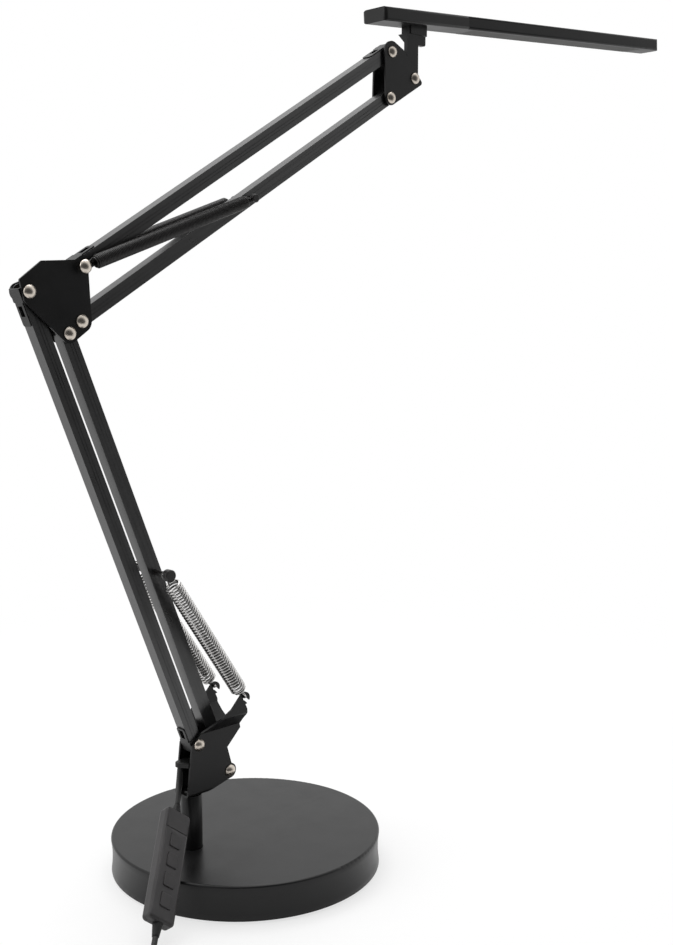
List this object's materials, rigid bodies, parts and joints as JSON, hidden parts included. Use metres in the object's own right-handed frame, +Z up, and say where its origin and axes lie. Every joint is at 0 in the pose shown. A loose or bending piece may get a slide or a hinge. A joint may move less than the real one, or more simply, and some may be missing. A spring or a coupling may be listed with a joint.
{
  "type": "swing-arm desk lamp",
  "caption": "Spring-balanced swing-arm LED desk lamp on a weighted round base, with a slim bar head and a push-button controller on its cord.",
  "frame": {"origin": "centre of the base's underside, on the table", "axes": "+Z up, +X towards the lamp head, Y across the plane in which the arms move"},
  "size_m": [0.6865, 0.3179, 0.6668],
  "materials": {
    "black_paint": "satin black powder coat",
    "cast_iron": "as cast",
    "zinc_steel": "zinc plated",
    "foam_pad": "pale closed-cell foam",
    "nylon": "black nylon",
    "spring_steel": "bright drawn wire",
    "polished_steel": "polished nickel",
    "black_plastic": "satin moulded",
    "black_bar": "satin black paint",
    "black_clip": "satin black paint",
    "black_steel": "black finish",
    "black_aluminium": "satin black anodised",
    "circuit_board": "white solder mask",
    "diffuser_plastic": "frosted",
    "button_rubber": "moulded",
    "controller_plastic": "satin moulded",
    "black_rubber": "moulded",
    "cord_black": "matt jacket"
  },
  "bodies": {
    "base": {"base_cover": "black_paint", "base_weight": "cast_iron", "base_plate": "zinc_steel", "base_pad": "foam_pad", "base_screws": "zinc_steel", "post_bush": "nylon", "controller_top_shell": "controller_plastic", "controller_bottom_shell": "controller_plastic", "controller_board": "circuit_board", "controller_relief_lower": "black_rubber", "controller_relief_upper": "black_rubber", "cord_link": "cord_black", "cord_lead": "cord_black", "cord_coil": "cord_black", "plug_body": "black_rubber", "plug_shell": "zinc_steel"},
    "foot": {"swivel_post": "black_paint", "post_ring": "spring_steel", "foot_bracket": "black_paint", "foot_pins": "polished_steel", "foot_washers": "nylon", "cord_grommet": "black_plastic"},
    "rear_bar": {"rear_bar": "black_bar", "rear_bar_foot_clip": "black_clip", "rear_bar_elbow_clip": "black_clip"},
    "front_bar": {"front_bar": "black_bar", "lower_spring_stud": "black_steel", "lower_spring_near": "spring_steel", "lower_spring_far": "spring_steel"},
    "elbow": {"elbow_plate_near": "black_paint", "elbow_plate_far": "black_paint", "elbow_pins": "polished_steel", "elbow_washers": "nylon", "spring_pivot_pin": "polished_steel"},
    "upper_bar": {"upper_bar": "black_bar", "upper_bar_elbow_clip": "black_clip", "upper_bar_head_clip": "black_clip"},
    "lower_bar": {"lower_bar": "black_bar", "upper_spring_stud": "black_steel", "upper_spring_near": "black_steel", "upper_spring_far": "black_steel"},
    "head_bracket": {"head_plate_near": "black_paint", "head_plate_far": "black_paint", "head_bracket_pins": "polished_steel", "head_washers": "nylon", "tilt_pin": "polished_steel"},
    "head_stem": {"head_stem": "black_paint"},
    "head": {"swivel_plate": "black_paint", "swivel_pin": "polished_steel", "head_screws": "zinc_steel", "head_end_block": "black_plastic", "head_housing": "black_aluminium", "led_board": "circuit_board", "diffuser": "diffuser_plastic"},
    "button_1": {"controller_button_1": "button_rubber"},
    "button_2": {"controller_button_2": "button_rubber"},
    "button_3": {"controller_button_3": "button_rubber"},
    "button_4": {"controller_button_4": "button_rubber"}
  },
  "joints": [
    {"name": "base_swivel", "type": "hinge", "parent": "base", "child": "foot", "pos_m": [-0.0506, 0, 0.045], "axis": [0, 0, 1], "range_deg": [-90, 90], "deforming": ["cord_link"]},
    {"name": "lower_arm", "type": "hinge", "parent": "foot", "child": "rear_bar", "pos_m": [-0.0484, 0, 0.1043], "axis": [0, 1, 0], "range_deg": [-6, 60]},
    {"name": "front_bar_foot", "type": "hinge", "parent": "foot", "child": "front_bar", "pos_m": [-0.0207, 0, 0.07829], "axis": [0, 1, 0], "range_deg": [-6, 60], "deforming": ["lower_spring_near", "lower_spring_far"]},
    {"name": "elbow_level", "type": "hinge", "parent": "rear_bar", "child": "elbow", "pos_m": [-0.173, 0, 0.42387], "axis": [0, 1, 0], "range_deg": [-60, 6]},
    {"name": "upper_arm", "type": "hinge", "parent": "elbow", "child": "upper_bar", "pos_m": [-0.135, 0, 0.43977], "axis": [0, 1, 0], "range_deg": [-30, 55]},
    {"name": "lower_bar_elbow", "type": "hinge", "parent": "elbow", "child": "lower_bar", "pos_m": [-0.13614, 0, 0.40539], "axis": [0, 1, 0], "range_deg": [-30, 55], "deforming": ["upper_spring_near", "upper_spring_far"]},
    {"name": "head_level", "type": "hinge", "parent": "upper_bar", "child": "head_bracket", "pos_m": [0.14556, 0, 0.60834], "axis": [0, 1, 0], "range_deg": [-55, 30]},
    {"name": "head_tilt", "type": "hinge", "parent": "head_bracket", "child": "head_stem", "pos_m": [0.17116, 0, 0.59154], "axis": [0, 1, 0], "range_deg": [-30, 70]},
    {"name": "head_swivel", "type": "hinge", "parent": "head_stem", "child": "head", "pos_m": [0.17906, -0.0015, 0.62534], "axis": [0, 0, 1], "range_deg": [-90, 90]},
    {"name": "button_1_press", "type": "slide", "parent": "base", "child": "button_1", "axis": [-0.2205, 0.79, -0.572], "range_m": [0, 0.0004], "stiffness_N_per_m": 1500},
    {"name": "button_2_press", "type": "slide", "parent": "base", "child": "button_2", "axis": [-0.2205, 0.79, -0.572], "range_m": [0, 0.0004], "stiffness_N_per_m": 1500},
    {"name": "button_3_press", "type": "slide", "parent": "base", "child": "button_3", "axis": [-0.2205, 0.79, -0.572], "range_m": [0, 0.0004], "stiffness_N_per_m": 1500},
    {"name": "button_4_press", "type": "slide", "parent": "base", "child": "button_4", "axis": [-0.2205, 0.79, -0.572], "range_m": [0, 0.0004], "stiffness_N_per_m": 1500}
  ],
  "couplings": [
    {"joint": "front_bar_foot", "follows": "lower_arm", "ratio": 1},
    {"joint": "elbow_level", "follows": "lower_arm", "ratio": -1},
    {"joint": "lower_bar_elbow", "follows": "upper_arm", "ratio": 1},
    {"joint": "head_level", "follows": "upper_arm", "ratio": -1}
  ]
}
